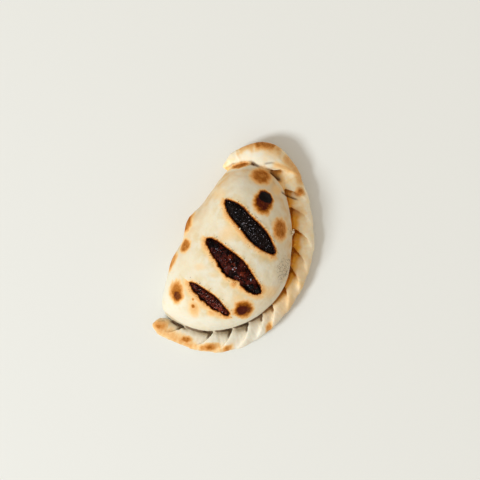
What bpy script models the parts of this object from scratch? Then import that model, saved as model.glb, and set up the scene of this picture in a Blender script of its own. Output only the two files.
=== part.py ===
"""A baked half-moon empanada: a hollow dough crust with a folded rope edge and three slits in
its top, and the dark filling that lies inside and shows in the slits.

X runs along the straight fold side from tip to tip, -Y is the rope side, +Z is up.
The origin is under the middle of the object, on the surface that it rests on.
"""

import bmesh
import bpy
import numpy as np
from mathutils import Vector, noise
from mathutils.bvhtree import BVHTree

MM = 0.001
TAU = 2 * np.pi

# The domed body: a half-moon outline, rounder at the rope side and nearly straight at the fold
HALF_LENGTH = 50.5 * MM
FRONT_DEPTH = 41.2 * MM
BACK_DEPTH = 16.8 * MM
FRONT_POWER = 1.97
BACK_POWERS = (2.5, 3.9)
LEAN = 0.1
# The rope side is fullest a little left of the middle
NOSE = 2.6 * MM
NOSE_X = -5.0 * MM
NOSE_WIDTH = 16.0 * MM
CENTRE_Y = 17.0 * MM
TOP_SHIFT_Y = -10.0 * MM
TOP_Z = 36.0 * MM
BULGE_Z = 13.0 * MM
TIP_BULGE_Z = 8.0 * MM
FOOT_SHARE = 0.92
BASE_RINGS = (0.45, 0.8)
FOOT_BENDS = (0.0, 0.35, 0.7)
RING_SPREAD = 0.85
# How full the dome's side is, as two powers: in the middle, at the right tip, at the left tip
FULLNESS = ((2.3, 1.75), (1.5, 1.2), (2.1, 1.5))
SWELL = 0.5 * MM
SWELL_WAVE = 24.0 * MM
UPWARD_SHARE = 1.2
DOME_SIDES = 80
DOME_RINGS = 13

# Two air bubbles swell the fold side: centre, radius, height of the swelling
BUBBLES = (
    ((3.0, 33.5, 14.0), 8.0, 4.2),
    ((-18.0, 33.5, 12.0), 8.5, 2.4),
)

# The hollow that holds the filling
WALL = 3.2 * MM
TIP_WALL_SHARE = 1.6
FLOOR = 3.0 * MM
GAP = 0.35 * MM
HOLLOW_SIDES = 36
HOLLOW_RINGS = 6

# The rope edge's middle line from the right tip to the left one: x, y, height, half width
RIM = (
    (38.2, 34.0, 8.0, 3.2),
    (48.6, 25.0, 9.4, 5.8),
    (55.2, 15.0, 9.0, 7.0),
    (52.8, 3.3, 7.2, 6.6),
    (45.3, -8.0, 6.0, 6.0),
    (34.0, -18.2, 5.3, 5.7),
    (18.5, -27.2, 5.2, 5.5),
    (2.0, -31.0, 5.2, 5.3),
    (-14.0, -30.2, 5.2, 5.3),
    (-29.0, -25.8, 5.3, 5.5),
    (-42.2, -17.5, 5.5, 5.8),
    (-51.3, -5.5, 5.6, 6.0),
    (-55.2, 8.0, 5.4, 5.6),
    (-56.2, 20.0, 6.0, 5.2),
    (-56.6, 26.3, 7.0, 4.6),
    (-57.6, 30.0, 8.0, 3.6),
)
# The folds of the rope, from the right tip: length, and how deep the step at its end is
FOLDS = (
    (39.5, 0.9),
    (14.0, 0.9),
    (12.0, 0.9),
    (12.5, 1.0),
    (12.5, 0.9),
    (11.0, 1.0),
    (11.5, 0.9),
    (12.5, 1.0),
    (9.0, 0.8),
    (10.0, 1.0),
    (11.5, 1.0),
    (12.5, 0.9),
    (19.0, 0.6),
    (12.0, 0.5),
)
HEIGHT_SHARE = 0.86
END_ROUNDING = 7.0 * MM
SLANT = 15.0 * MM
# Each fold's free edge stands proud by a share of the rope's width, most on the body's side
FOLD_STEP = 0.95
FOLD_STEP_LEAST = 0.10
STEP_TURN = 0.74 * np.pi
STEP_FOCUS = 1.5
FOLD_CREST = 0.94
LIP = 0.5 * MM
TUCK = 1.1 * MM
FOLD_START = 0.06
RING_GAP = 2.2 * MM
ROPE_SIDES = 18
FLANGE_BOTTOM = 0.6 * MM
FLANGE_TOP = 5.3 * MM
FLANGE_SIDES = 48
FLANGE_ENDS = (22.0 * MM, 15.0 * MM)

# Three slits across the top: the end by the fold side, the end by the rope side, and the width
SLITS = (
    ((22.0, 23.2), (7.7, -13.2), 9.8),
    ((-1.0, 23.0), (-14.6, -15.9), 10.6),
    ((-26.2, 21.0), (-32.7, -6.2), 5.7),
)
SLIT_POINTS = 22
SLIT_BLUNTNESS = 0.55
SLIT_WAVE = 0.08
SLIT_WAVE_TURNS = 11
SLIT_LEAST = 0.12 * MM
SLIT_TOP = 45.0 * MM
SLIT_BOTTOM = 12.0 * MM

# The filling's craggy top in each slit
FILLING_RECESS = 1.3 * MM
FILLING_CROWN = 1.3 * MM
CRAG = 0.9 * MM
CRAG_WAVE = 3.0 * MM
CRAG_ROWS = 6

CRUST_COLOUR = (0.80, 0.62, 0.38, 1.0)
CRUST_ROUGHNESS = 0.75
FILLING_COLOUR = (0.035, 0.012, 0.009, 1.0)
FILLING_ROUGHNESS = 0.4
SHARP_ANGLE = 45.0


def material(name, colour, roughness):
    made = bpy.data.materials.new(name)
    made.use_nodes = True
    shader = made.node_tree.nodes["Principled BSDF"]
    shader.inputs["Base Color"].default_value = colour
    shader.inputs["Roughness"].default_value = roughness
    shader.inputs["Metallic"].default_value = 0.0
    made.diffuse_color = colour
    return made


def in_triangles(mesh):
    """Turns the mesh's faces out and cuts them into flat triangles, which a Boolean cuts cleanly."""
    shape = bmesh.new()
    shape.from_mesh(mesh)
    bmesh.ops.recalc_face_normals(shape, faces=shape.faces)
    bmesh.ops.triangulate(shape, faces=shape.faces)
    shape.to_mesh(mesh)
    shape.free()


def object_from(name, points, faces):
    """A closed mesh object with its faces pointing out."""
    mesh = bpy.data.meshes.new(name)
    mesh.from_pydata([tuple(p) for p in points], [], faces)
    in_triangles(mesh)
    made = bpy.data.objects.new(name, mesh)
    bpy.context.scene.collection.objects.link(made)
    return made


def tube_of_rings(name, rings, first=None, last=None):
    """Joins rings of equally many points into a closed skin. first and last are end points;
    without one, that end is closed by a flat face."""
    count = len(rings[0])
    points = np.concatenate(rings)
    faces = []
    for row in range(len(rings) - 1):
        for i in range(count):
            j = (i + 1) % count
            faces.append((row * count + i, row * count + j, (row + 1) * count + j, (row + 1) * count + i))
    ends = ((0, first), ((len(rings) - 1) * count, last))
    for start, middle in ends:
        if middle is None:
            faces.append(tuple(range(start, start + count)))
            continue
        points = np.vstack([points, middle])
        for i in range(count):
            faces.append((start + i, start + (i + 1) % count, len(points) - 1))
    return object_from(name, points, faces)


def joined(target, operation, others):
    """Applies one Boolean of the target with a collection of helpers, and removes the helpers."""
    helpers = bpy.data.collections.new("helpers")
    for other in others:
        helpers.objects.link(other)
    cut = target.modifiers.new(operation.lower(), "BOOLEAN")
    cut.operation = operation
    cut.operand_type = "COLLECTION"
    cut.collection = helpers
    cut.solver = "EXACT"
    graph = bpy.context.evaluated_depsgraph_get()
    result = bpy.data.meshes.new_from_object(target.evaluated_get(graph))
    target.modifiers.clear()
    in_triangles(result)
    target.data = result
    for other in others:
        bpy.data.objects.remove(other)
    bpy.data.collections.remove(helpers)
    return target


def signed_power(value, power):
    return np.sign(value) * np.abs(value) ** power


def outline(sides, inset):
    """The half-moon outline about its middle, in evenly spaced points, inset for the hollow."""
    turns = np.linspace(0, TAU, 1440)
    across, along = np.cos(turns), np.sin(turns)
    power = np.where(across > 0, BACK_POWERS[0], BACK_POWERS[1])
    power = np.where(along < 0, FRONT_POWER, power)
    depth = np.where(along < 0, FRONT_DEPTH, BACK_DEPTH) - inset
    x = (HALF_LENGTH - TIP_WALL_SHARE * inset) * signed_power(across, 2 / power)
    y = depth * signed_power(along, 2 / power) - LEAN * x * np.minimum(along, 0)
    y += NOSE * np.minimum(along, 0) * np.exp(-(((x - NOSE_X) / NOSE_WIDTH) ** 2))
    return even_points(np.stack([x, y], axis=1), sides + 1)[0][:-1]


def dome_ring(edge, share, depth_share, inset=0.0):
    """One ring of the dome, share times the size of its widest outline. depth_share is None above
    that outline; below it, it says how far down the ring is, up to 1 at the foot."""
    x, y = (edge * share).T
    tip = np.minimum(1.0, np.abs(x) / HALF_LENGTH) ** 3
    bulge = BULGE_Z + (TIP_BULGE_Z - BULGE_Z) * tip
    if depth_share is not None:
        shift = 0.0
        z = bulge * (1 - depth_share) + inset * depth_share * FLOOR / WALL
    else:
        shift = TOP_SHIFT_Y * (1 - share)
        middle, right, left = FULLNESS
        p, q = (np.where(x > 0, right[i], left[i]) * tip + middle[i] * (1 - tip) for i in (0, 1))
        z = bulge + (TOP_Z - inset - bulge) * (1 - share**p) ** (1 / q)
    return np.stack([x, y + CENTRE_Y + shift, z], axis=1)


def swollen(points):
    """Adds the air bubbles and the gentle unevenness of baked dough; the flat base stays flat."""
    moved = []
    for point in points:
        lift = min(1.0, point[2] / BULGE_Z)
        place = Vector(point) / SWELL_WAVE
        away = (point[0], point[1] - CENTRE_Y - TOP_SHIFT_Y, UPWARD_SHARE * point[2])
        outward = Vector(away).normalized()
        rise = SWELL * noise.noise(place) * 2
        for centre, radius, height in BUBBLES:
            distance = (Vector(point) - Vector(centre) * MM).length / (radius * MM)
            rise += height * MM * np.exp(-(distance**2))
        moved.append(Vector(point) + outward * rise * lift)
    return np.array(moved)


def dome(name, sides, ring_count, inset=0.0):
    """The domed body, or with an inset the smooth hollow inside it."""
    edge = outline(sides, inset)
    rings = [dome_ring(edge, FOOT_SHARE * share, 1.0, inset) for share in BASE_RINGS]
    for bend in FOOT_BENDS:
        angle = (1 - bend) * np.pi / 2
        rings.append(dome_ring(edge, FOOT_SHARE + (1 - FOOT_SHARE) * np.cos(angle), np.sin(angle), inset))
    for step in range(ring_count):
        share = np.cos(step / ring_count * np.pi / 2) ** RING_SPREAD
        rings.append(dome_ring(edge, share, None, inset))
    base = np.array([0.0, CENTRE_Y, rings[0][0][2]])
    top = np.array([0.0, CENTRE_Y + TOP_SHIFT_Y, TOP_Z - inset])
    if not inset:
        rings = [swollen(ring) for ring in rings]
        top = swollen([top])[0]
    return tube_of_rings(name, rings, base, top)


def even_points(line, count):
    """Evenly spaced points along a line of many short pieces, and the line's length."""
    run = np.concatenate([[0], np.cumsum(np.linalg.norm(np.diff(line, axis=0), axis=1))])
    even = np.linspace(0, run[-1], count)
    return np.stack([np.interp(even, run, part) for part in line.T], axis=1), run[-1]


def smooth_line(points, steps=40):
    """A curve of many short pieces through the points, rounded at each of them."""
    held = np.vstack([2 * points[0] - points[1], points, 2 * points[-1] - points[-2]])
    fine = []
    for i in range(1, len(held) - 2):
        a, b, c, d = held[i - 1 : i + 3]
        for t in np.linspace(0, 1, steps, endpoint=False):
            square = (2 * a - 5 * b + 4 * c - d) * t**2
            cube = (3 * b - a - 3 * c + d) * t**3
            fine.append(0.5 * (2 * b + (c - a) * t + square + cube))
    fine.append(points[-1])
    return np.array(fine)


class Rim:
    """The middle line of the rope edge, read by distance from the right tip."""

    def __init__(self):
        line = smooth_line(np.array(RIM) * MM)
        steps = np.linalg.norm(np.diff(line[:, :2], axis=0), axis=1)
        self.line = line
        self.runs = np.concatenate([[0], np.cumsum(steps)])
        self.length = self.runs[-1]

    def at(self, run):
        """The middle of the rope, and its half width."""
        found = np.array([np.interp(run, self.runs, part) for part in self.line.T])
        return found[:3], found[3]

    def outward(self, run):
        step = 1.0 * MM
        ahead = self.at(min(run + step, self.length))[0] - self.at(max(run - step, 0))[0]
        side = np.array([-ahead[1], ahead[0], 0.0])
        return side / np.linalg.norm(side)


def fold_rise(phase):
    """How far a fold has risen along its run: 0 where it is tucked in, 1 at its free edge."""
    return 0.5 - 0.5 * np.cos(np.pi * min(1.0, phase / FOLD_CREST))


def rope_point(rim, start, length, phase, turn, depths):
    """A point of the rope's skin: turn goes round it, from outwards over the top to inwards."""
    facing = max(0, np.cos(turn - STEP_TURN)) ** STEP_FOCUS
    step = FOLD_STEP_LEAST + (FOLD_STEP - FOLD_STEP_LEAST) * facing
    push = {0.0: -TUCK * depths[0], 1.0: LIP * depths[1]}.get(phase, 0.0)
    run = start + phase * length + push * step / FOLD_STEP
    calm = min(1.0, max(0.0, min(run, rim.length - run)) / (1.5 * END_ROUNDING))
    run += SLANT * 0.5 * np.cos(turn) * calm
    run = np.clip(run, 0.02 * MM, rim.length - 0.02 * MM)
    near_end = min(run, rim.length - run) / END_ROUNDING
    taper = np.sqrt(1 - (1 - min(1.0, near_end)) ** 2)
    rise = fold_rise(phase)
    size = taper * (1 + step * (depths[1] * rise - depths[0] * (1 - rise)) / 2)
    middle, half_width = rim.at(run)
    place = middle + rim.outward(run) * half_width * np.cos(turn) * size
    place[2] += half_width * HEIGHT_SHARE * np.sin(turn) * size
    return place


def rope(rim):
    """The rope edge: slanting folds, each one tucked under the free edge of the one before."""
    scale = rim.length / sum(length for length, depth in FOLDS)
    turns = np.arange(ROPE_SIDES) / ROPE_SIDES * TAU
    rings = []
    start, depth_before = 0.0, 0.0
    for fold, (length, depth) in enumerate(FOLDS):
        length *= scale
        phases = np.linspace(FOLD_START, 1.0, round(length / RING_GAP) + 2)
        for phase in (0.0, *phases):
            if (fold == 0 and phase < 0.1) or (fold == len(FOLDS) - 1 and phase > 0.95):
                continue
            depths = (depth_before, depth)
            rings.append(np.array([rope_point(rim, start, length, phase, turn, depths) for turn in turns]))
        start, depth_before = start + length, depth
    return tube_of_rings("rope", rings, rim.at(0)[0], rim.at(rim.length)[0])


def flange(rim):
    """The sealed double layer of dough that joins the body to the rope."""
    runs = np.linspace(FLANGE_ENDS[0], rim.length - FLANGE_ENDS[1], FLANGE_SIDES)
    edge = [rim.at(run)[0] for run in runs]
    rings = [np.array([(x, y, height) for x, y, z in edge]) for height in (FLANGE_BOTTOM, FLANGE_TOP)]
    return tube_of_rings("flange", rings)


def slit_half_width(along, phase):
    """Half the slit's width against its widest, for along from 0 at one end to 1 at the other."""
    spindle = (4 * along * (1 - along)) ** SLIT_BLUNTNESS
    return spindle * (1 + SLIT_WAVE * np.sin(SLIT_WAVE_TURNS * along + phase))


def slit_point(slit, along, across, margin=0.0):
    """A point in the slit's plan: along from 0 to 1, across from -1 to 1."""
    (ax, ay), (bx, by), width = slit
    start, end = np.array((ax, ay)) * MM, np.array((bx, by)) * MM
    line = end - start
    length = np.linalg.norm(line)
    along = margin / length + along * (1 - 2 * margin / length)
    side = np.array((-line[1], line[0])) / length
    half = width * MM / 2 * slit_half_width(along, 3 * np.sign(across) + ax) - margin
    return start + line * along + side * across * max(half, SLIT_LEAST)


def slit_cutter(index, slit):
    ways = [(t, 1) for t in np.linspace(0.012, 0.988, SLIT_POINTS)]
    ways += [(t, -1) for t in np.linspace(0.988, 0.012, SLIT_POINTS)]
    edge = [slit_point(slit, along, across) for along, across in ways]
    rings = [np.array([(x, y, z) for x, y in edge]) for z in (SLIT_BOTTOM, SLIT_TOP)]
    return tube_of_rings(f"slit_{index}", rings)


def filling_plug(index, slit, surface):
    """The filling that rises through one slit, with a craggy top just below the dough."""
    stations = np.linspace(0.02, 0.98, SLIT_POINTS)
    shares = np.linspace(-1, 1, CRAG_ROWS + 1)
    points, faces = [], []
    for along in stations:
        for across in shares:
            x, y = slit_point(slit, along, across, GAP)
            hit = surface.ray_cast(Vector((x, y, SLIT_TOP)), Vector((0, 0, -1)))[0]
            crown = FILLING_CROWN * (1 - across**2) * np.sin(np.pi * along) ** 0.5
            crag = CRAG * noise.noise(Vector((x, y, 0)) / CRAG_WAVE) * (1.3 - abs(across))
            points.append((x, y, hit.z - FILLING_RECESS + crown + crag))
    top_count = len(points)
    points += [(x, y, SLIT_BOTTOM + WALL) for x, y, z in points]
    width = len(shares)
    for row in range(len(stations) - 1):
        for column in range(width - 1):
            a = row * width + column
            quad = (a, a + 1, a + width + 1, a + width)
            faces += [quad, tuple(top_count + i for i in reversed(quad))]
    rim = [row * width for row in range(len(stations))]
    rim += [top_count - width + column for column in range(1, width)]
    rim += [row * width + width - 1 for row in range(len(stations) - 2, -1, -1)]
    rim += list(range(width - 2, 0, -1))
    for a, b in zip(rim, rim[1:] + rim[:1]):
        faces.append((a, b, top_count + b, top_count + a))
    return object_from(f"plug_{index}", points, faces)


def surface_of(target):
    shape = bmesh.new()
    shape.from_mesh(target.data)
    tree = BVHTree.FromBMesh(shape)
    shape.free()
    return tree


def stand_on_origin(shapes):
    """Moves all the shapes together so that the origin is under the middle of their box."""
    corners = np.array([vertex.co for shape in shapes for vertex in shape.data.vertices])
    low, high = corners.min(axis=0), corners.max(axis=0)
    shift = -(low + high) / 2
    shift[2] = -low[2]
    for shape in shapes:
        for vertex in shape.data.vertices:
            vertex.co += Vector(shift)


for old in list(bpy.data.objects):
    bpy.data.objects.remove(old)

crust = dome("crust", DOME_SIDES, DOME_RINGS)
surface = surface_of(crust)
rim_line = Rim()
joined(crust, "UNION", [flange(rim_line), rope(rim_line)])
hollow = dome("hollow", HOLLOW_SIDES, HOLLOW_RINGS, WALL)
joined(crust, "DIFFERENCE", [hollow] + [slit_cutter(i, slit) for i, slit in enumerate(SLITS)])

filling = dome("filling", HOLLOW_SIDES, HOLLOW_RINGS, WALL + GAP)
joined(filling, "UNION", [filling_plug(i, slit, surface) for i, slit in enumerate(SLITS)])

crust.data.materials.append(material("baked_dough", CRUST_COLOUR, CRUST_ROUGHNESS))
filling.data.materials.append(material("dark_filling", FILLING_COLOUR, FILLING_ROUGHNESS))
stand_on_origin([crust, filling])
for shape in (crust, filling):
    shape.data.shade_smooth()
    shape.data.set_sharp_from_angle(angle=np.radians(SHARP_ANGLE))
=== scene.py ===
import math

import bmesh
import bpy
import numpy as np
from mathutils import Euler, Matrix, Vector, noise
from mathutils.bvhtree import BVHTree


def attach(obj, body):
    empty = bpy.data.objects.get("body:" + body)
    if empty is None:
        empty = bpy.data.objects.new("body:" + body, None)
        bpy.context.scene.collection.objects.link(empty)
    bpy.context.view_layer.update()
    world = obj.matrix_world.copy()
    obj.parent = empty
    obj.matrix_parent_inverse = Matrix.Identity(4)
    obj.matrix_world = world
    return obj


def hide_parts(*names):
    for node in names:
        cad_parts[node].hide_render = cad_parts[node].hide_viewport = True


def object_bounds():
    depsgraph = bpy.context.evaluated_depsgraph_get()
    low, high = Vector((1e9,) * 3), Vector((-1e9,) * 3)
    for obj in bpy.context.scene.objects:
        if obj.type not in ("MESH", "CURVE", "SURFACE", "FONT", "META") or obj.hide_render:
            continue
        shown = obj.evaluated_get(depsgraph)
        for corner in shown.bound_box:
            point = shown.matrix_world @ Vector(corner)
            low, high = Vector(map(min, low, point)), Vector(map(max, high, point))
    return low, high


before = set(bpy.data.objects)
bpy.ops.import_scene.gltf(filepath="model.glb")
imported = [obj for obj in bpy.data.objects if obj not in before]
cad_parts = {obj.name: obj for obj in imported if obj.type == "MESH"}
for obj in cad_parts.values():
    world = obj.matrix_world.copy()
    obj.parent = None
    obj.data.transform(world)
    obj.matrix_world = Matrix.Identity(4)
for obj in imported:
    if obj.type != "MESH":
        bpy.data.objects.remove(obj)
cad_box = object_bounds()
scene = bpy.context.scene
scene.view_settings.view_transform = "Standard"


# Camera: straight above, rolled so that the empanada's long axis points up and to the right, as in
# the photograph. The picture is 271 mm across at the height of the floor.
MM = 0.001
CAMERA_HEIGHT = 640 * MM
PHOTO_TURN = math.radians(63.5)
image_right = Vector((math.cos(PHOTO_TURN), -math.sin(PHOTO_TURN), 0))
image_up = Vector((math.sin(PHOTO_TURN), math.cos(PHOTO_TURN), 0))
picture_middle = Vector((5.8, 6.3, 0)) * MM
camera_data = bpy.data.cameras.new("photo_camera")
camera_data.lens = 85
camera_data.clip_start = 0.01
camera = bpy.data.objects.new("photo_camera", camera_data)
scene.collection.objects.link(camera)
camera.location = picture_middle + Vector((0, 0, CAMERA_HEIGHT))
camera.rotation_euler = (0, 0, -PHOTO_TURN)
scene.camera = camera


# Floor and light: a plain pale floor, one large soft lamp at the picture's lower left, and an even
# warm fill from all round.
bpy.ops.mesh.primitive_plane_add(size=6, location=(0, 0, 0))
floor = bpy.context.object
floor.name = "floor"
floor_paint = bpy.data.materials.new("floor")
floor_paint.use_nodes = True
floor_shader = floor_paint.node_tree.nodes["Principled BSDF"]
floor_shader.inputs["Base Color"].default_value = (0.785, 0.785, 0.745, 1)
floor_shader.inputs["Roughness"].default_value = 0.6
floor.data.materials.append(floor_paint)


def soft_lamp(name, picture_angle, height_angle, distance, size, watts, colour):
    """An area lamp aimed at the empanada from an angle measured in the picture and a height."""
    turn, rise = math.radians(picture_angle), math.radians(height_angle)
    flat = image_right * math.cos(turn) + image_up * math.sin(turn)
    way = flat * math.cos(rise) + Vector((0, 0, math.sin(rise)))
    data = bpy.data.lights.new(name, "AREA")
    data.shape = "DISK"
    data.size = size
    data.energy = watts
    data.color = colour
    lamp = bpy.data.objects.new(name, data)
    scene.collection.objects.link(lamp)
    lamp.location = Vector((0, 0, 0.01)) + way * distance
    lamp.rotation_euler = (-way).to_track_quat("-Z", "Y").to_euler()


soft_lamp("key", 208, 42, 4.0, 1.1, 120, (0.88, 0.945, 1.0))
sky = bpy.data.worlds.new("fill")
scene.world = sky
sky.use_nodes = True
sky.node_tree.nodes["Background"].inputs["Color"].default_value = (1.0, 0.925, 0.83, 1)
sky.node_tree.nodes["Background"].inputs["Strength"].default_value = 0.60


# Crust: a soft wheat dough rolled thin, folded over the filling, sealed along a half round and
# folded there into a rope, then baked very hot. The solid gives its form. Its mesh is evened out
# finely here, and takes the dough's small unevenness, the raised blisters and the torn slit lips.
def merged_copy(node, name):
    """A copy of a CAD node's mesh with its loose triangles joined."""
    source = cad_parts[node]
    piece = bpy.data.objects.new(name, source.data.copy())
    piece.data.materials.clear()
    scene.collection.objects.link(piece)
    bpy.ops.object.select_all(action="DESELECT")
    piece.select_set(True)
    bpy.context.view_layer.objects.active = piece
    bpy.ops.object.mode_set(mode="EDIT")
    bpy.ops.mesh.select_all(action="SELECT")
    bpy.ops.mesh.remove_doubles(threshold=1e-6)
    bpy.ops.mesh.normals_make_consistent(inside=False)
    bpy.ops.object.mode_set(mode="OBJECT")
    return piece


def apply_modifier(piece, kind, **settings):
    """Adds a modifier with its settings and makes its result the piece's own mesh."""
    change = piece.modifiers.new(kind.lower(), kind)
    for key, value in settings.items():
        setattr(change, key, value)
    bpy.context.view_layer.objects.active = piece
    bpy.ops.object.modifier_apply(modifier=change.name)


def points_of(mesh):
    flat = np.empty(len(mesh.vertices) * 3, np.float32)
    mesh.vertices.foreach_get("co", flat)
    return flat.reshape(-1, 3).astype(float)


def normals_of(mesh):
    flat = np.empty(len(mesh.vertices) * 3, np.float32)
    mesh.vertex_normals.foreach_get("vector", flat)
    return flat.reshape(-1, 3).astype(float)


def set_points(mesh, points):
    mesh.vertices.foreach_set("co", points.astype(np.float32).ravel())
    mesh.update()


def noise_at(points, wave, seed=0.0):
    """Smooth noise of the given wave length in metres at each point, about -1 to 1."""
    shift = Vector((seed, seed * 0.7, -seed))
    return np.array([noise.noise(Vector(p) / wave + shift) for p in points]) * 1.6


def smooth_step(value, low, high):
    """0 below low, 1 above high and smooth between, or the other way round where low is above high."""
    t = np.clip((value - low) / (high - low), 0, 1)
    return t * t * (3 - 2 * t)


def distance_to_line(plan, line):
    """The distance in plan from each point to a line of several pieces."""
    nearest = np.full(len(plan), 1.0)
    for start, end in zip(line[:-1], line[1:]):
        way = end - start
        share = np.clip((plan - start) @ way / max(way @ way, 1e-12), 0, 1)
        gap = np.linalg.norm(plan - start - share[:, None] * way, axis=1)
        nearest = np.minimum(nearest, gap)
    return nearest


# The slits' outlines, as in the solid: the two ends and the width in mm, how blunt the ends are, and
# how much the edges wave. The wave counts from where each slit lay before the solid was centred.
SLITS = (
    ((21.5, 22.7), (7.2, -13.7), 9.8),
    ((-1.5, 22.5), (-15.1, -16.4), 10.6),
    ((-26.7, 20.5), (-33.2, -6.7), 5.7),
)
SLIT_BLUNTNESS = 0.55
SLIT_WAVE = 0.08
CENTRED_BY = 0.524


def slit_place(slit, along, across):
    """Points in a slit's plan: along from 0 to 1, across from -1 to 1, in metres."""
    (ax, ay), (bx, by), width = slit
    along, across = np.broadcast_arrays(along, across)
    start, end = np.array((ax, ay)) * MM, np.array((bx, by)) * MM
    way = end - start
    side = np.array((-way[1], way[0])) / np.linalg.norm(way)
    wave = 1 + SLIT_WAVE * np.sin(11 * along + 3 * np.sign(across) + ax + CENTRED_BY)
    half = width * MM / 2 * (4 * along * (1 - along)) ** SLIT_BLUNTNESS * wave
    return start + along[..., None] * way + (half * across)[..., None] * side


def slit_distance(slit, plan):
    """The distance from a slit's edge in plan, below 0 inside it, and the way out of the slit."""
    (ax, ay), (bx, by), width = slit
    start, end = np.array((ax, ay)) * MM, np.array((bx, by)) * MM
    way = end - start
    side = np.array((-way[1], way[0])) / np.linalg.norm(way)
    along = np.clip((plan - start) @ way / (way @ way), 0, 1)
    offset = (plan - start) @ side
    edge = slit_place(slit, along, np.where(offset < 0, -1.0, 1.0))
    half = np.linalg.norm(edge - start - along[:, None] * way, axis=1)
    stations = np.linspace(0, 1, 48)
    ring = np.vstack([slit_place(slit, stations, 1.0), slit_place(slit, stations[::-1], -1.0)])
    gap = distance_to_line(plan, ring)
    inside = (np.abs(offset) < half) & (along > 0) & (along < 1)
    return np.where(inside, -gap, gap), np.sign(offset)[:, None] * side


# The crust and a copy of the filling become one closed mesh, so that the inside, which is never
# seen, takes no faces. What shows of the filling in the slits is lowered first, to leave their walls.
CRUST_GRAIN = 0.52 * MM
PLUG_SWELL = 0.6 * MM
PLUG_DROP = 2.4 * MM
FILLING_SHOWS_ABOVE = 24 * MM
crust = merged_copy("crust", "crust_dough")
plug = merged_copy("filling", "plug")
apply_modifier(plug, "DISPLACE", strength=PLUG_SWELL, mid_level=0.0)
plug_points = points_of(plug.data)
for slit in SLITS:
    gap = slit_distance(slit, plug_points[:, :2])[0]
    plug_points[(gap < 1.0 * MM) & (plug_points[:, 2] > FILLING_SHOWS_ABOVE), 2] -= PLUG_DROP
set_points(plug.data, plug_points)
bpy.ops.object.select_all(action="DESELECT")
plug.select_set(True)
crust.select_set(True)
bpy.context.view_layer.objects.active = crust
bpy.ops.object.join()
apply_modifier(crust, "REMESH", mode="VOXEL", voxel_size=CRUST_GRAIN)
apply_modifier(crust, "SMOOTH", factor=0.5, iterations=9)

# Browned blisters: middle, reach to the picture's right and up in mm, a turn, and how burnt, where
# 0.2 is golden, 0.5 brown and 1 black. A blister on a steep side also has a reach in height. The
# darker ones are raised.
BLISTER_RISE = 0.40 * MM
BLISTERS = (
    ((42.1, 11.4), (5.8, 4.9), -12, 0.57),
    ((29.4, 4.2), (5.0, 6.4), 0, 0.80),
    ((32.4, 4.2), (4.4, 3.3), -35, 1.20),
    ((20.6, -10.4), (3.9, 6.3), 6, 0.57),
    ((-34.8, 24.5), (3.9, 6.1), 0, 0.56),
    ((-36.2, 23.4), (2.8, 3.6), 0, 0.72),
    ((-38.3, 12.1), (3.2, 5.0), 10, 0.31),
    ((-37.5, 13.1), (1.1, 1.3), 0, 0.58),
    ((-34.0, 14.7), (0.8, 0.9), 0, 0.55),
    ((-26.8, -12.1), (5.2, 4.8), 25, 0.72),
    ((-27.7, -11.7), (4.2, 3.6), 25, 0.83),
    ((-13.3, -16.0), (3.2, 3.6), 0, 0.34),
    ((-35.6, 1.9), (3.4, 2.6), 0, 0.34),
    ((-16.8, -1.2), (1.9, 2.3), 20, 0.40),
    ((-16.7, 19.0), (3.6, 2.4), 0, 0.16),
    ((-17.2, 11.0), (2.8, 2.0), 0, 0.12),
    ((39.2, 0.5), (3.2, 3.2), 0, 0.22),
    ((44.7, -11.4), (2.6, 2.7), 0, 0.52),
    ((34.9, -16.0), (3.2, 3.2), 0, 0.22),
    ((42.7, 24.8), (5.2, 1.7), 14, 0.56),
    ((7.2, 13.0), (8.0, 5.0), 30, 0.18),
    ((-23.0, -6.5), (3.6, 3.0), 20, 0.17),
    ((-12.5, -21.0), (5.0, 3.4), 30, 0.19),
    ((23.0, 27.5), (4.6, 3.6), 0, 0.16),
    ((-29.5, 17.0), (3.0, 2.6), 0, 0.15),
    ((-56.6, 24.8), (4.6, 3.4), 0, 0.44),
    ((-57.2, 25.5), (2.4, 1.8), 0, 0.50),
    ((-56.9, 8.3), (3.6, 2.0), -8, 0.54),
    ((-55.4, -4.7), (5.8, 2.4), 6, 0.50),
    ((-54.9, -5.4), (2.6, 1.5), 12, 0.55),
    ((-51.5, -14.3), (3.3, 1.8), 32, 0.50),
    ((-30.6, -29.9), (1.8, 3.2), -14, 0.50),
)
SIDE_BLISTERS = (
    ((1.2, 36.6, 17.4), (6.6, 6.0, 4.6), 0.56),
    ((-21.5, 34.6, 16.4), (6.4, 5.0, 4.8), 0.46),
    ((-10.5, 31.7, 21.7), (4.4, 5.6, 5.0), 0.55),
    ((-48.8, 29.0, 11.0), (2.0, 2.0, 3.0), 0.36),
)
# Browning along the rope: the line that it follows, its reach to each side in mm, how burnt
STREAKS = (
    (((51.4, 28.4), (54.6, 26.0), (57.6, 22.0), (60.0, 15.5), (60.4, 10.5)), 4.2, 0.34),
    (((58.0, 20.6), (59.6, 17.0), (60.4, 13.6)), 4.2, 0.58),
    (((57.0, 14.5), (58.0, 9.5), (58.4, 5.5)), 4.0, 0.22),
    (((57.6, 2.5), (55.8, -1.5), (53.8, -5.0), (51.6, -8.4)), 4.0, 0.34),
    (((52.0, 6.3), (52.8, 1.3), (53.5, -4.0)), 2.6, 0.31),
    (((-58.8, 24.0), (-58.8, 17.8), (-59.2, 12.5), (-59.0, 4.5)), 4.6, 0.32),
    (((-58.4, 3.0), (-57.0, -4.0), (-54.0, -11.0), (-51.0, -15.5)), 3.0, 0.26),
)
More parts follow.
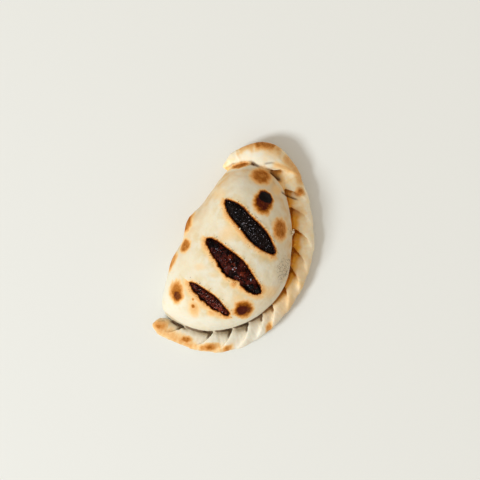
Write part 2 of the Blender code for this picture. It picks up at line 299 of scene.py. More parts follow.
# The lobes and notches of the second and third slits' edges, on the lower left: the place along the
# slit, how far the edge is drawn out there in mm, and the share of the slit that it takes up
LOBES = (
    (),
    ((0.44, 0.9, 0.12), (0.69, -1.5, 0.045), (0.85, 0.7, 0.09)),
    ((0.22, 0.4, 0.06), (0.36, 0.8, 0.06), (0.47, -0.4, 0.04), (0.66, 0.5, 0.05), (0.86, 0.4, 0.05)),
)
# Creases where the dough is drawn together at the two ends, and under the cap's edge: the line, the
# depth and half width in mm, and how dark the shadow painted inside it is
CREASES = (
    (((38.6, 31.0), (41.6, 28.1), (44.5, 24.2), (46.5, 20.5), (46.9, 17.5), (46.6, 12.5)), 0.9, 0.55, 0.8),
    (((45.4, 22.6), (46.5, 19.8), (46.8, 16.8)), 0.5, 0.90, 1.0),
    (((48.5, 13.0), (50.2, 11.7), (51.7, 9.7), (53.2, 5.8)), 0.5, 0.42, 0.6),
    (((48.3, 9.2), (50.0, 5.5), (50.6, 1.0)), 0.35, 0.50, 0.25),
    (((47.0, 11.4), (47.1, 6.5), (45.0, 0.4)), 0.8, 0.85, 1.0),
    (((39.9, -1.6), (39.6, -8.1), (40.0, -12.6)), 0.5, 0.50, 0.9),
    (((-54.6, 27.5), (-53.5, 25.9), (-52.8, 23.1)), 0.6, 0.50, 0.8),
    (((-51.9, 21.6), (-52.1, 16.6), (-51.5, 10.6)), 0.5, 0.60, 0.7),
)
# The crackle: thin lines in the dry dough of the flank, as a blister's place, reach and turn
CRACKLE = ((2.8, -22.4), (4.0, 7.4), -12)
right_way, up_way = np.array(image_right), np.array(image_up)


def blister_reach(points, middle, reach, turn):
    """How far each point is from a blister's middle, seen from above, where 1 is its edge."""
    away = points[:, :2] - np.array(middle) * MM
    c, s = math.cos(math.radians(turn)), math.sin(math.radians(turn))
    x, y = away @ right_way[:2], away @ up_way[:2]
    x, y = x * c + y * s, y * c - x * s
    return np.hypot(x / (reach[0] * MM), y / (reach[1] * MM))


def tree_of(piece):
    """A piece's faces, ready to be searched."""
    shape = bmesh.new()
    shape.from_mesh(piece.data)
    tree = BVHTree.FromBMesh(shape)
    shape.free()
    return tree


def height_map(tree, low, high, step):
    """Heights straight down onto a mesh on a grid in plan; 0 where there is nothing."""
    xs, ys = np.arange(low[0], high[0], step), np.arange(low[1], high[1], step)
    heights = np.zeros((len(xs), len(ys)))
    down, top = Vector((0, 0, -1)), 0.1
    for i, x in enumerate(xs):
        for j, y in enumerate(ys):
            hit = tree.ray_cast(Vector((x, y, top)), down)[0]
            if hit:
                heights[i, j] = hit.z
    return heights


def blurred(grid, reach):
    """A grid blurred by a bell curve with the given reach in cells."""
    span = np.arange(-int(3 * reach), int(3 * reach) + 1)
    bell = np.exp(-((span / reach) ** 2) / 2)
    bell /= bell.sum()
    for axis in (0, 1):
        grid = np.apply_along_axis(np.convolve, axis, grid, bell, "same")
    return grid


def read_grid(grid, points, low, step):
    """The grid's value at each point, between the four cells round it."""
    place = (points[:, :2] - low) / step
    i = np.clip(place.astype(int), 0, np.array(grid.shape) - 2)
    f = np.clip(place - i, 0, 1)
    a, b = grid[i[:, 0], i[:, 1]], grid[i[:, 0] + 1, i[:, 1]]
    c, d = grid[i[:, 0], i[:, 1] + 1], grid[i[:, 0] + 1, i[:, 1] + 1]
    return (a * (1 - f[:, 0]) + b * f[:, 0]) * (1 - f[:, 1]) + (c * (1 - f[:, 0]) + d * f[:, 0]) * f[:, 1]


def paint(mesh, name, values):
    """Stores one number for each vertex, which the material reads by name."""
    layer = mesh.attributes.new(name, "FLOAT", "POINT")
    layer.data.foreach_set("value", np.asarray(values, np.float32))


points = points_of(crust.data)
normals = normals_of(crust.data)
wave_9 = noise_at(points, 9 * MM)
wave_4 = noise_at(points, 3.6 * MM, 4.0)
wave_2 = noise_at(points, 1.7 * MM, 9.0)
wave_1 = noise_at(points, 0.9 * MM, 15.0)

# Where the dough was hottest. A dark blister has a wide even middle, and a light one fades out from
# near its middle. The rope's foot stays pale.
FAR_OFF = 9.0
BLISTERS_STOP_AT = 5.5 * MM
STREAKS_STOP_AT = 6 * MM
edge_noise = 1 + 0.10 * wave_4 + 0.06 * wave_2 + 0.04 * wave_1
heat = np.zeros(len(points))
swell = np.zeros(len(points))
for middle, reach, turn, burnt in BLISTERS:
    away = blister_reach(points, middle, reach, turn) * edge_noise
    away = np.where(points[:, 2] < BLISTERS_STOP_AT, FAR_OFF, away)
    start = 0.48 if burnt > 0.55 else 0.25
    heat = np.maximum(heat, burnt * (1 - smooth_step(away, start, 1.98 - start)))
    if burnt > 0.45 and min(reach) > 2:
        swell = np.maximum(swell, np.clip(1 - away**2, 0, 1))
for middle, reach, burnt in SIDE_BLISTERS:
    away = np.linalg.norm((points - np.array(middle) * MM) / (np.array(reach) * MM), axis=1) * edge_noise
    heat = np.maximum(heat, burnt * (1 - smooth_step(away, 0.45, 1.4)))
for line, reach, burnt in STREAKS:
    away = distance_to_line(points[:, :2], np.array(line) * MM) / (reach * MM)
    away *= edge_noise * (1 + 0.30 * wave_9 + 0.16 * wave_4)
    away = np.where(points[:, 2] < STREAKS_STOP_AT, FAR_OFF, away)
    heat = np.maximum(heat, burnt * (1 - smooth_step(away, 0.0, 1.6)))

# The creases' groove in the dough, and the shadow painted dark inside them.
crease_painted_shadow = np.zeros(len(points))
groove = np.zeros(len(points))
for line, depth, reach, shadow_darkness in CREASES:
    ends = np.array(line) * MM
    middle = (ends[0] + ends[-1]) / 2
    share = np.linalg.norm(points[:, :2] - middle, axis=1) / np.linalg.norm(ends[0] - middle)
    gap = distance_to_line(points[:, :2] + 0.25 * MM * wave_4[:, None], ends) / (reach * MM)
    cut = np.exp(-(gap**2)) * (1 - smooth_step(share, 0.6, 1.15)) * (points[:, 2] > 7 * MM)
    cut *= 1 - smooth_step(points[:, 2], 16.2 * MM, 18.0 * MM)
    crease_painted_shadow = np.maximum(crease_painted_shadow, cut * shadow_darkness)
    groove = np.maximum(groove, cut * depth * MM)

# The slits' lips: torn, drawn up a little, scorched at the edge with a golden halo round it
LIP_REACH = 1.5 * MM
LIP_LIFT = 0.30 * MM
LIP_UNEVENNESS = 0.22 * MM
on_top = smooth_step(points[:, 2], 22 * MM, 25 * MM)
lift = np.zeros(len(points))
push = np.zeros((len(points), 2))
lip_gap = np.full(len(points), 1.0)
facing = np.zeros(len(points))
lower_left = -0.8 * right_way[:2] - 0.6 * up_way[:2]
for index, slit in enumerate(SLITS):
    gap, way = slit_distance(slit, points[:, :2])
    facing = np.where(gap < lip_gap, way @ lower_left, facing)
    lip_gap = np.minimum(lip_gap, np.where(on_top > 0, gap, 1.0))
    near = np.exp(-((gap / LIP_REACH) ** 2)) * on_top
    lift += near * (LIP_LIFT + LIP_UNEVENNESS * wave_4)
    tear = (0.55 * wave_2 + 0.30 * wave_1 + 0.25 * wave_4) * MM
    if index > 0:
        tear *= 1.1 + 0.5 * facing
    start, end = np.array(slit[0]) * MM, np.array(slit[1]) * MM
    along = (points[:, :2] - start) @ (end - start) / ((end - start) @ (end - start))
    for place, reach, spread in LOBES[index]:
        tear += reach * MM * np.exp(-(((along - place) / spread) ** 2)) * (facing > 0)
    push += (near * tear)[:, None] * way
gap_mm = lip_gap / MM + 0.30 * wave_2 + 0.22 * wave_1
side_share = smooth_step(0.7 * facing + 0.5 * wave_9 + 0.3 * wave_4, -0.9, 0.9)
char = 1.06 - 0.74 * smooth_step(gap_mm, -0.25, 0.75)
halo = (0.18 + 0.20 * side_share) * (1 - smooth_step(gap_mm, 0.4, 2.0 + 3.4 * side_share))
scorch = np.maximum(char * (1 - smooth_step(gap_mm, 0.6, 1.3)), halo)
heat = np.maximum(heat, scorch * on_top)

# The rope's middle line, from the cap's tip: x, y, height and half width in mm. Just inside it the
# folds sink into the valley beside the body. Its ochre is partly dough that stayed damp and turned
# ochre, and partly painted shade with warm light thrown back into the valley.
VALLEY_DEPTH = 1.6 * MM
RIM = (
    (37.7, 33.5, 8.0, 3.2),
    (48.1, 24.5, 9.4, 5.8),
    (54.7, 14.5, 9.0, 7.0),
    (52.3, 2.8, 7.2, 6.6),
    (44.8, -8.5, 6.0, 6.0),
    (33.5, -18.7, 5.3, 5.7),
    (18.0, -27.7, 5.2, 5.5),
    (1.5, -31.5, 5.2, 5.3),
    (-14.5, -30.7, 5.2, 5.3),
    (-29.5, -26.3, 5.3, 5.5),
    (-42.7, -18.0, 5.5, 5.8),
    (-51.8, -6.0, 5.6, 6.0),
    (-55.7, 7.5, 5.4, 5.6),
    (-56.7, 19.5, 6.0, 5.2),
    (-57.1, 25.8, 7.0, 4.6),
    (-58.1, 29.5, 8.0, 3.6),
)
rim = np.array(RIM) * MM
rope_gap = np.full(len(points), 1.0)
inward = np.zeros(len(points))
above_rim = np.zeros(len(points))
along_rim = np.zeros(len(points))
travelled = 0.0
half_width = np.full(len(points), 5 * MM)
for start, end in zip(rim[:-1], rim[1:]):
    way = (end - start)[:2]
    away = points[:, :2] - start[:2]
    share = np.clip(away @ way / (way @ way), 0, 1)
    gap = np.linalg.norm(away - share[:, None] * way, axis=1)
    near = gap < rope_gap
    here = start + share[:, None] * (end - start)
    rope_gap = np.where(near, gap, rope_gap)
    inward = np.where(near, gap * np.sign(way[1] * away[:, 0] - way[0] * away[:, 1]), inward)
    above_rim = np.where(near, points[:, 2] - here[:, 2], above_rim)
    half_width = np.where(near, here[:, 3], half_width)
    along_rim = np.where(near, travelled + share * np.linalg.norm(way), along_rim)
    travelled += np.linalg.norm(way)
across = rope_gap / half_width
on_rope = (1 - smooth_step(across, 0.95, 1.2)) * (1 - smooth_step(above_rim, 5.5 * MM, 7.5 * MM))
# How far in from the rope's middle each point lies, in half widths, and less than 0 outside it
inner = inward / half_width
beside = 1 - smooth_step(inner, 1.5, 2.2)
sink = smooth_step(inner, 0.05, 0.85) * beside
sink *= 1 - smooth_step(above_rim, 4.4 * MM, 7.2 * MM)
sink *= smooth_step(above_rim, -4.8 * MM, 0.6 * MM)
sink *= smooth_step(points[:, 0], -52 * MM, -34 * MM) * (1 - smooth_step(points[:, 0], 40 * MM, 50 * MM))
strand_place = np.column_stack([along_rim, inward * 0.16, points[:, 2] * 0.16])
strands = noise_at(strand_place, 1.5 * MM, 30.0) * on_rope

# The pits beside the folds: how far each point lies below the mean height round it, where shade is
# painted in.
GRID = 0.5 * MM
low = points[:, :2].min(axis=0) - 6 * MM
high = points[:, :2].max(axis=0) + 6 * MM
heights = height_map(tree_of(crust), low, high, GRID)
deep = read_grid(blurred(heights, 5.0), points, low, GRID) - points[:, 2]
fold = read_grid(blurred(heights, 2.0), points, low, GRID) - points[:, 2]
off_slit = smooth_step(lip_gap, 1.5 * MM, 4 * MM)
upward = smooth_step(normals[:, 2], -0.25, 0.1)
rope_side = smooth_step(points[:, 2], 20 * MM, 14 * MM) * (1 - smooth_step(across, 1.5, 2.2))
# Painted shade: darker and more ochre in the pits beside the rope's folds.
pit_shade = smooth_step(deep, 0.3 * MM, 3.2 * MM) * off_slit * rope_side * upward
# Painted shade: deeper ochre in the narrow creases of the folds.
fold_pit_shade = smooth_step(fold, 0.12 * MM, 0.8 * MM) * off_slit * rope_side * upward
low_side = 1 - smooth_step(above_rim, 4.5 * MM, 7.5 * MM)
# Ochre on the rope's inner side beside the body, partly the dough's own tint and partly painted shade.
stain_and_shade = upward * smooth_step(inner, 0.0, 0.70) * beside * low_side * (0.75 + 0.35 * wave_4 + 0.2 * wave_9)
valley_tint_and_shade = np.clip(stain_and_shade + 0.8 * pit_shade, 0, 1)

# The dough's relief
PAST_THE_SOLID = 0.3 * MM
grow = 0.14 * wave_9 + 0.07 * wave_4 + 0.035 * wave_2 + 0.09 * strands
grow = grow * MM + BLISTER_RISE * swell * (1 + 0.25 * wave_2) + lift - groove
grow *= smooth_step(points[:, 2], 0.4 * MM, 3 * MM)
moved = points + normals * grow[:, None]
moved[:, :2] += push
moved[:, 2] -= VALLEY_DEPTH * sink
box_low, box_high = (np.array(corner) for corner in cad_box)
moved = np.clip(moved, box_low - PAST_THE_SOLID, box_high + PAST_THE_SOLID)
moved[:, 2] = np.maximum(moved[:, 2], 0.0)
set_points(crust.data, moved)

# Where the dough's colour changes: warmer towards the right end, paler on the cap and on the
# upper rope's outer side, and tan on the lower rope. The flank beside the valley, turned away from the
# lamp, is painted darker as shade.
crackle = 1 - smooth_step(blister_reach(points, *CRACKLE) * edge_noise, 0.5, 1.3)
valley_tint_and_shade *= 0.4 + 0.6 * smooth_step(normals[:, 2], 0.0, 0.45)
valley_tint_and_shade *= 1 - 0.5 * smooth_step(points[:, 0], 30 * MM, 42 * MM)
on_cap = smooth_step(points[:, 0], 42 * MM, 48 * MM) * smooth_step(points[:, 1], 4 * MM, 12 * MM)
upper = smooth_step(points[:, 0], 4 * MM, 22 * MM)
lower = smooth_step(points[:, 0], -36 * MM, -16 * MM) * (1 - upper)
warmth = smooth_step(points[:, 0], -34 * MM, 2 * MM)
warmth *= 1 - 0.7 * on_cap
warmth *= 1 - 0.35 * smooth_step(-inner, 0.0, 0.7) * on_rope * upper
rope_tan = on_rope * lower * (0.8 + 0.4 * wave_9)
# Painted shade on the body's lower flank beside the rope, towards the right end.
flank_painted_shade = smooth_step(inner, 0.9, 1.5) * (1 - smooth_step(points[:, 2], 18 * MM, 30 * MM)) * warmth
golden = np.exp(-np.maximum(lip_gap, 0) / (6 * MM)) * on_top * (1 + 0.3 * facing)
# The underside, which lay on the oven's floor, is evenly and lightly browned
UNDERSIDE_BROWNING = 0.13
under = (1 - smooth_step(normals[:, 2], -0.9, -0.5)) * (1 - smooth_step(points[:, 2], 0.5 * MM, 1.5 * MM))
for tint in (heat, valley_tint_and_shade, crackle, warmth, flank_painted_shade, on_rope, rope_tan, strands):
    tint *= 1 - under
heat += UNDERSIDE_BROWNING * under
paint(crust.data, "browning", heat)
paint(crust.data, "valley_tint_and_shade", valley_tint_and_shade)
paint(crust.data, "fold_pit_shade", fold_pit_shade)
paint(crust.data, "crackle", crackle)
paint(crust.data, "warmth", warmth)
paint(crust.data, "rope", on_rope)
paint(crust.data, "rope_tan", rope_tan)
paint(crust.data, "crease_painted_shadow", crease_painted_shadow)
paint(crust.data, "flank_painted_shade", flank_painted_shade * (0.8 + 0.4 * wave_4))
paint(crust.data, "strands", strands)
paint(crust.data, "golden", golden)


class Shade:
    """A socket of a material's nodes that adds and multiplies like a number."""

    def __init__(self, tree, socket=None):
        self.tree = tree
        self.socket = socket

    def node(self, kind, settings=None, inputs=None, output=0):
        made = self.tree.nodes.new(kind)
        for key, value in (settings or {}).items():
            setattr(made, key, value)
        for key, value in (inputs or {}).items():
            if isinstance(value, Shade):
                self.tree.links.new(value.socket, made.inputs[key])
            else:
                made.inputs[key].default_value = value
        return Shade(self.tree, made.outputs[output])

    def maths(self, operation, *values):
        return self.node("ShaderNodeMath", {"operation": operation}, dict(enumerate(values)))

    def __add__(self, other):
        return self.maths("ADD", self, other)

    def __sub__(self, other):
        return self.maths("SUBTRACT", self, other)

    def __rsub__(self, other):
        return self.maths("SUBTRACT", other, self)

    def __mul__(self, other):
        return self.maths("MULTIPLY", self, other)

    __radd__, __rmul__ = __add__, __mul__

    def step(self, low, high):
        """0 below low, 1 above high, smooth between."""
        values = {"From Min": low, "From Max": high, "Value": self}
        return self.node("ShaderNodeMapRange", {"interpolation_type": "SMOOTHSTEP"}, values)

    def mix(self, first, second):
        """From the first colour to the second as this number goes from 0 to 1."""
        values = {0: self, 6: first, 7: second}
        return self.node("ShaderNodeMix", {"data_type": "RGBA", "clamp_factor": True}, values, 2)

    def noise(self, wave, detail=3.0, roughness=0.55):
        """Noise from 0 to 1 of the given wave length in metres, in the object's own frame."""
        place = self.node("ShaderNodeTexCoord", output=3)
        values = {"Vector": place, "Scale": 1 / wave, "Detail": detail, "Roughness": roughness}
        return self.node("ShaderNodeTexNoise", None, values)

    def cells(self, wave, feature="F1"):
        """Distances to scattered points, or to the edges between them, in shares of their spacing."""
        place = self.node("ShaderNodeTexCoord", output=3)
        return self.node("ShaderNodeTexVoronoi", {"feature": feature}, {"Vector": place, "Scale": 1 / wave})

    def painted(self, name):
        return self.node("ShaderNodeAttribute", {"attribute_name": name}, output=2)


def colour(red, green, blue):
    """A screen colour of 0 to 255 as the linear colour that materials take."""
    linear = [((c / 255 + 0.055) / 1.055) ** 2.4 if c > 10 else c / 255 / 12.92 for c in (red, green, blue)]
    return (*linear, 1.0)


def new_material(name, **constants):
    """A material, its Principled node and a Shade to build its nodes with."""
    made = bpy.data.materials.new(name)
    made.use_nodes = True
    principled = made.node_tree.nodes["Principled BSDF"]
    for key, value in constants.items():
        principled.inputs[key.replace("_", " ")].default_value = value
    return made, principled, Shade(made.node_tree)


def drive(principled, name, value):
    value.tree.links.new(value.socket, principled.inputs[name])


dough, surface, shade = new_material(
    "baked_dough",
    IOR=1.4,
    Specular_IOR_Level=0.12,
    Subsurface_Weight=0.12,
    Subsurface_Scale=0.0015,
    Subsurface_Radius=(1.0, 0.6, 0.35),
)
# The browning here, made uneven, with small darker specks
heat_here = shade.painted("browning")
grain = shade.noise(0.8 * MM, 4.0) - 0.5
speck_gap = shade.cells(1.1 * MM)
blotch = shade.noise(2.6 * MM, 3.0) - 0.5
toast = heat_here + (grain * 0.26 + blotch * 0.30) * heat_here.step(0.03, 0.60)
toast = toast + shade.painted("strands") * 0.05 * heat_here.step(0.03, 0.20)
toast = toast + (0.16 - speck_gap).step(0.0, 0.08) * 0.16 * heat_here.step(0.12, 0.30)
# The body's own colour
mottle = shade.noise(13 * MM, 2.0).step(0.35, 0.65)
skin = mottle.mix(colour(229, 223, 203), colour(230, 220, 194))
golden = shade.painted("golden") * (shade.noise(5 * MM, 3.0).step(0.36, 0.66) + 0.15)
skin = golden.mix(skin, colour(216, 190, 136))
# Painted shade on the flank beside the valley
skin = (shade.painted("flank_painted_shade") * 0.85).mix(skin, colour(216, 178, 124))
skin = (shade.noise(4 * MM, 3.0).step(0.5, 0.75) * 0.45).mix(skin, colour(226, 208, 174))
# The rope, and the ochre valley beside it, partly the dough's own tint and partly painted shade
pale_rope = shade.noise(6 * MM, 2.0).step(0.35, 0.65).mix(colour(238, 232, 214), colour(234, 224, 202))
warm_rope = shade.noise(5 * MM, 3.0).step(0.35, 0.65).mix(colour(252, 238, 206), colour(252, 224, 172))
warmth_here = shade.painted("warmth")
valley_tint_and_shade_here = shade.painted("valley_tint_and_shade")
skin = shade.painted("rope").mix(skin, warmth_here.mix(pale_rope, warm_rope))
skin = (shade.painted("rope_tan") * 0.6).mix(skin, colour(222, 178, 112))
ochre_tint_and_shade = valley_tint_and_shade_here * (warmth_here * 0.5 + 0.45)
ochre_and_shade_colour = warmth_here.mix(colour(188, 168, 136), colour(244, 184, 70))
skin = ochre_tint_and_shade.step(0.03, 0.65).mix(skin, ochre_and_shade_colour)
pit_shade_colour = warmth_here.mix(colour(120, 96, 72), colour(200, 122, 12))
# Painted shade: deep ochre where the valley's creases lie.
skin = ((valley_tint_and_shade_here * shade.painted("fold_pit_shade")).step(0.10, 0.75) * 0.85).mix(skin, pit_shade_colour)
skin = (shade.painted("strands").step(0.1, 0.9) * warmth_here * 0.22).mix(skin, colour(236, 184, 128))
# The shadow painted into the creases, and the crackle
skin = shade.painted("crease_painted_shadow").mix(skin, colour(104, 68, 38))
crackled = shade.painted("crackle")
lines = (0.07 - shade.cells(1.9 * MM, "DISTANCE_TO_EDGE") - grain * 0.22).step(0.0, 0.06) * crackled
skin = (crackled * 0.35).mix(skin, colour(206, 198, 180))
skin = (lines * shade.noise(2.4 * MM, 2.0).step(0.32, 0.5) * 0.9).mix(skin, colour(112, 100, 82))
# From golden through brown to charred black: where each tone starts, where it is full, its colour
TOASTED = (
    (0.03, 0.28, (238, 200, 142)),
    (0.18, 0.48, (216, 146, 72)),
    (0.38, 0.64, (160, 90, 8)),
    (0.58, 0.80, (78, 20, 2)),
    (0.78, 1.02, (12, 4, 2)),
)
tone = skin
for starts, full, tint in TOASTED:
    tone = toast.step(starts, full).mix(tone, colour(*tint))
drive(surface, "Base Color", tone)
drive(surface, "Roughness", 0.62 - toast.step(0.5, 0.9) * 0.12 + grain * 0.12)
relief = shade.noise(1.4 * MM, 5.0, 0.6) * 0.7 + shade.noise(0.35 * MM, 2.0) * 0.3
bumps = {"Strength": 0.35, "Distance": 0.25 * MM, "Height": relief}
drive(surface, "Normal", shade.node("ShaderNodeBump", None, bumps))
crust.data.materials.append(dough)
crust.data.shade_smooth()

# The flat base needs few faces
shape = bmesh.new()
shape.from_mesh(crust.data)
base = [face for face in shape.faces if max(vertex.co.z for vertex in face.verts) < 0.02 * MM]
bmesh.ops.dissolve_faces(shape, faces=base)
bmesh.ops.triangulate(shape, faces=[face for face in shape.faces if len(face.verts) > 4])
shape.to_mesh(crust.data)
shape.free()
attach(crust, "root")
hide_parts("crust")


# Filling: minced meat cooked down in its own dark juice, packed inside the crust. It shows in the
# three slits, where the oven's heat has dried and charred its top: near black in the first slit,
# burgundy and lumpy in the second, wine red and grainy in the third.
FILLING_GRAIN = 0.6 * MM
filling = merged_copy("filling", "filling_core")
apply_modifier(filling, "REMESH", mode="VOXEL", voxel_size=FILLING_GRAIN)
apply_modifier(filling, "SMOOTH", factor=0.5, iterations=3)
points = points_of(filling.data)
normals = normals_of(filling.data)
slit_share = np.zeros((3, len(points)))
showing = smooth_step(points[:, 2], FILLING_SHOWS_ABOVE, 26 * MM)
for index, slit in enumerate(SLITS):
    gap = slit_distance(slit, points[:, :2])[0]
    slit_share[index] = smooth_step(gap, 3 * MM, 0.0) * showing
# The crags of each slit's filling: how far apart they stand and how high, in mm
CRAG_SPACING = (3.0, 3.6, 2.4)
CRAG_HEIGHT = (0.5, 0.9, 0.45)
rise = np.zeros(len(points))
for index in range(3):
    near = np.nonzero(slit_share[index] > 0.01)[0]
    for i in near:
        nearest = noise.voronoi(Vector(points[i]) / (CRAG_SPACING[index] * MM))[0][0]
        rise[i] += slit_share[index][i] * CRAG_HEIGHT[index] * (0.55 - nearest) * 1.6
wave_1 = noise_at(points, 1.0 * MM, 21.0)
rise = (rise + 0.16 * wave_1 * slit_share.max(axis=0)) * MM
moved = points + normals * rise[:, None]
moved = np.clip(moved, box_low, box_high)
set_points(filling.data, moved)
paint(filling.data, "burgundy", slit_share[1])
paint(filling.data, "wine", slit_share[2])
meat, surface, shade = new_material(
    "dark_filling", Specular_IOR_Level=0.06, Coat_IOR=1.35, Coat_Roughness=0.1
)
grain = shade.noise(0.7 * MM, 4.0)
patch = shade.noise(4.5 * MM, 2.0)
char = grain.mix(colour(6, 4, 4), colour(32, 22, 18))
burgundy = (patch * 0.6 + grain * 0.4).step(0.42, 0.60).mix(colour(8, 3, 3), colour(78, 22, 12))
wine = (patch * 0.5 + grain * 0.5).step(0.40, 0.60).mix(colour(24, 7, 5), colour(120, 46, 32))
tone = shade.painted("burgundy").mix(char, burgundy)
tone = shade.painted("wine").mix(tone, wine)
drive(surface, "Base Color", tone)
drive(surface, "Roughness", 0.30 + grain * 0.35)
drive(surface, "Coat Weight", patch.step(0.5, 0.62) * 0.2)
relief = shade.noise(0.9 * MM, 5.0, 0.65)
bumps = {"Strength": 0.6, "Distance": 0.4 * MM, "Height": relief}
drive(surface, "Normal", shade.node("ShaderNodeBump", None, bumps))
filling.data.materials.append(meat)
filling.data.shade_smooth()
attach(filling, "root")
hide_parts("filling")


# Granules: crumbs of minced meat and charred juice, about a millimetre across, that lie all over
# the filling's top in the slits and stick there in its dried juice.
def landing(x, y, *trees):
    """Where a bit dropped at a place in plan comes to rest, on the first of the pieces below it."""
    for tree in trees:
        hit = tree.ray_cast(Vector((x, y, 0.1)), Vector((0, 0, -1)))[0]
        if hit is not None:
            return np.array(hit)


def scattered(name, places, sizes, tones, seed, fineness=1, uneven=0.18):
    """One mesh of small uneven lumps, with each lump's tone stored for the material."""
    bpy.ops.mesh.primitive_ico_sphere_add(subdivisions=fineness, radius=1)
    pattern = bpy.context.object
    ball = points_of(pattern.data)
    faces = np.array([p.vertices for p in pattern.data.polygons])
    bpy.data.objects.remove(pattern)
    draw = np.random.default_rng(seed)
    all_points, all_faces, all_tones = [], [], []
    for place, size, tone in zip(places, sizes, tones):
        turn = np.array(Euler(draw.uniform(0, 6.28, 3)).to_matrix())
        shape = ball * draw.uniform(0.55, 1.1, 3) * (1 + draw.uniform(-uneven, uneven, (len(ball), 1)))
        all_faces.append(faces + len(ball) * len(all_points))
        all_points.append(shape * size / 2 @ turn.T + place)
        all_tones.append(np.full(len(ball), tone))
    mesh = bpy.data.meshes.new(name)
    mesh.from_pydata(np.concatenate(all_points).tolist(), [], np.concatenate(all_faces).tolist())
    piece = bpy.data.objects.new(name, mesh)
    scene.collection.objects.link(piece)
    paint(mesh, "tone", np.concatenate(all_tones))
    mesh.shade_smooth()
    return piece


draw = np.random.default_rng(7)
filling_tree = tree_of(filling)
# How many lie in each slit, and their tones there, from 0 for black to 1 for brown
GRANULES = (430, 300, 260)
GRANULE_TONES = ((0.0, 0.34), (0.0, 0.80), (0.15, 1.05))
places, sizes, tones = [], [], []
for index, slit in enumerate(SLITS):
    for _ in range(GRANULES[index]):
        along = draw.uniform(0.015, 0.985)
        x, y = slit_place(slit, np.array(along), np.array(draw.uniform(-0.97, 0.97)))
        size = draw.uniform(0.55, 1.25) * MM
        places.append(landing(x, y, filling_tree) + (0, 0, size * draw.uniform(-0.05, 0.22)))
        sizes.append(size)
        low_tone, high_tone = GRANULE_TONES[index]
        share = 0.5 + 0.75 * noise_at(places[-1:], 4.5 * MM, 50.0)[0] + draw.uniform(-0.25, 0.25)
        tones.append(low_tone + (high_tone - low_tone) * min(max(share, 0), 1))
granules = scattered("filling_granules", places, sizes, tones, 8)
crumbly, surface, shade = new_material(
    "dark_granules", Specular_IOR_Level=0.06, Coat_IOR=1.35, Coat_Roughness=0.08
)
here = shade.painted("tone")
tone = here.step(0.0, 0.30).mix(colour(5, 4, 4), colour(30, 19, 16))
tone = here.step(0.25, 0.62).mix(tone, colour(74, 20, 12))
tone = here.step(0.60, 1.0).mix(tone, colour(136, 60, 40))
drive(surface, "Base Color", (shade.noise(0.5 * MM, 3.0).step(0.3, 0.7) * 0.5).mix(tone, colour(12, 6, 5)))
drive(surface, "Roughness", 0.25 + shade.noise(0.6 * MM) * 0.35)
drive(surface, "Coat Weight", shade.noise(2.6 * MM, 1.0).step(0.5, 0.62) * 0.22)
granules.data.materials.append(crumbly)
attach(granules, "root")


# Meat lumps: the larger pieces of meat in the second slit, wet with juice and half sunk in the
# filling. Those at the slit's two ends are charred black.
# How deep each one's middle lies, as a share of its size
MIDDLE_BELOW = 0.19
# Each one's place along and across the slit, its size in mm and its tone
LUMPS = (
    (0.07, 0.0, 3.0, 0.05),
    (0.16, 0.2, 3.6, 0.10),
    (0.25, -0.3, 3.6, 0.50),
    (0.29, 0.5, 3.4, 0.30),
    (0.38, 0.4, 4.4, 0.95),
    (0.40, -0.5, 4.6, 0.65),
    (0.50, 0.0, 4.4, 0.90),
    (0.53, -0.6, 4.4, 0.25),
    (0.57, 0.6, 4.0, 0.60),
    (0.65, 0.1, 4.2, 0.80),
    (0.70, -0.5, 3.0, 0.70),
    (0.75, 0.5, 4.2, 0.35),
    (0.84, -0.2, 6.2, 0.00),
    (0.93, 0.0, 3.4, 0.00),
)
places, sizes, tones = [], [], []
for along, across, size, tone in LUMPS:
    x, y = slit_place(SLITS[1], np.array(along), np.array(across))
    places.append(landing(x, y, filling_tree) - (0, 0, MIDDLE_BELOW * size * MM))
    sizes.append(size * MM)
    tones.append(tone)
lumps = scattered("meat_lumps", places, sizes, tones, 12, 4, 0.0)
points = points_of(lumps.data)
normals = normals_of(lumps.data)
bulge = 0.45 * noise_at(points, 2.2 * MM, 41.0) + 0.16 * noise_at(points, 0.8 * MM, 43.0)
moved = points + normals * bulge[:, None] * MM
moved[:, 2] = np.minimum(moved[:, 2], box_high[2])
set_points(lumps.data, moved)
wet, surface, shade = new_material(
    "meat_lumps", Specular_IOR_Level=0.06, Coat_IOR=1.5, Coat_Roughness=0.1
)
here = shade.painted("tone")
strand = shade.noise(1.3 * MM, 4.0, 0.65)
tone = here.step(0.0, 0.30).mix(colour(4, 3, 3), colour(34, 9, 6))
tone = here.step(0.25, 0.65).mix(tone, colour(70, 20, 9))
tone = here.step(0.60, 0.95).mix(tone, colour(112, 40, 14))
tone = (strand.step(0.42, 0.62) * 0.85).mix(tone, colour(14, 5, 5))
drive(surface, "Base Color", tone)
drive(surface, "Roughness", 0.3 + strand * 0.3)
drive(surface, "Coat Weight", shade.noise(2.0 * MM, 2.0).step(0.4, 0.6) * 0.22 + 0.04)
bumps = {"Strength": 0.6, "Distance": 0.3 * MM, "Height": shade.noise(0.8 * MM, 4.0, 0.6)}
drive(surface, "Normal", shade.node("ShaderNodeBump", None, bumps))
lumps.data.materials.append(wet)
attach(lumps, "root")


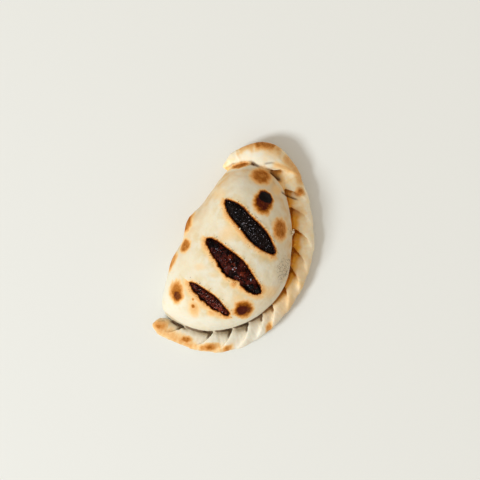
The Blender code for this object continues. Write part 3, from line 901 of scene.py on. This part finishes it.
# Pale specks: grains among the dark granules, most under half a millimetre, partly bits of salt, fat
# and onion and partly painted glints of light on the wet filling. In the second slit four larger pale
# bits, each of three lumps, are painted highlights on the wet meat, shaped as bits of onion.
PALE_BITS_AND_GLINTS = (170, 60, 80)
GLINT_BITS = ((0.175, 0.1), (0.385, 0.30), (0.52, -0.1), (0.78, 0.40))
places, sizes, tones = [], [], []
granule_tree = tree_of(granules)
for index, slit in enumerate(SLITS):
    for _ in range(PALE_BITS_AND_GLINTS[index]):
        along = draw.beta(2.2, 2.0)
        x, y = slit_place(slit, np.array(along), np.array(draw.uniform(-0.8, 0.8)))
        size = (0.16 + 0.45 * draw.random() ** 3) * MM
        places.append(landing(x, y, granule_tree, filling_tree) + (0, 0, size * 0.2))
        sizes.append(size)
        tones.append(index * 0.3 + draw.uniform(0, 0.4))
for along, across in GLINT_BITS:
    x, y = slit_place(SLITS[1], np.array(along), np.array(across))
    below = landing(x, y, granule_tree, filling_tree)
    for _ in range(3):
        places.append(below + np.append(draw.normal(0, 0.4 * MM, 2), 0.4 * MM))
        sizes.append(draw.uniform(0.6, 1.0) * MM)
        tones.append(draw.uniform(0, 0.3))
glint_specks = scattered("pale_bits_and_glints", places, sizes, tones, 9)
glint_paint, surface, shade = new_material("pale_bits_and_glints", IOR=1.45, Coat_Weight=0.5, Coat_Roughness=0.1)
# The specks are painted from bluish white to pink, partly as light glinting off the wet filling.
tone = shade.painted("tone").mix(colour(150, 158, 176), colour(226, 180, 166))
drive(surface, "Base Color", (shade.noise(0.4 * MM).step(0.35, 0.65) * 0.5).mix(tone, colour(96, 84, 84)))
drive(surface, "Roughness", 0.25 + shade.noise(0.5 * MM) * 0.3)
glint_specks.data.materials.append(glint_paint)
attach(glint_specks, "root")


# Charred crumbs: bits of burnt dough, up to about half a millimetre across, that broke off the
# slits' torn lips and cling beside them.
CRUMBS_TO_A_MM = 8
CRUMB_SPREAD = 0.85 * MM
crust_tree = tree_of(crust)
places, sizes, tones = [], [], []
for slit in SLITS:
    length = math.dist(slit[0], slit[1])
    for _ in range(int(length * CRUMBS_TO_A_MM)):
        along = draw.uniform(0.0, 1.0)
        side = draw.choice((-1.0, 1.0))
        x, y = slit_place(slit, np.array(along), np.array(side)) + draw.normal(0, CRUMB_SPREAD, 2)
        size = draw.uniform(0.22, 0.52) * MM
        places.append(landing(x, y, crust_tree) + (0, 0, size * 0.12))
        sizes.append(size)
        tones.append(draw.uniform(0, 1))
crumbs = scattered("charred_crumbs", places, sizes, tones, 10)
burnt, surface, shade = new_material("charred_crumbs", IOR=1.4)
tone = shade.painted("tone").mix(colour(14, 7, 5), colour(120, 62, 24))
drive(surface, "Base Color", (shade.noise(0.4 * MM).step(0.3, 0.7) * 0.4).mix(tone, colour(24, 11, 7)))
drive(surface, "Roughness", 0.55 + shade.noise(0.5 * MM) * 0.3)
crumbs.data.materials.append(burnt)
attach(crumbs, "root")


# Dough crumbs: a flake of dried dough caught on the body's flank above the rope, a crumb at the
# first slit, and one beside the flake. Each is three small lumps in a row, baked hard together.
# The middle of each, and its width and length, in mm:
DOUGH_CRUMBS = (
    ((22.2, -17.0), 2.8, 4.2),
    ((10.9, 9.0), 0.9, 1.1),
    ((22.9, -14.6), 0.9, 1.0),
)
places, sizes, tones = [], [], []
for (x, y), width, length in DOUGH_CRUMBS:
    hit, outward = crust_tree.ray_cast(Vector((x * MM, y * MM, 0.1)), Vector((0, 0, -1)))[:2]
    for step in np.linspace(-0.3, 0.3, 3):
        spot = np.array(hit) + np.append((right_way * 0.3 + up_way)[:2] * step * length * MM, 0)
        places.append(spot + np.array(outward) * 0.3 * width * MM)
        sizes.append(width * (1 - abs(step)) * MM)
        tones.append(draw.uniform(0, 1))
flakes = scattered("dough_crumbs", places, sizes, tones, 11)
dry, surface, shade = new_material("dough_crumbs", IOR=1.4)
tone = shade.painted("tone").mix(colour(250, 240, 216), colour(236, 214, 176))
tone = (shade.noise(0.7 * MM, 3.0).step(0.35, 0.7) * 0.6).mix(tone, colour(212, 178, 126))
drive(surface, "Base Color", tone)
drive(surface, "Roughness", 0.6 + shade.noise(0.5 * MM) * 0.2)
flakes.data.materials.append(dry)
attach(flakes, "root")
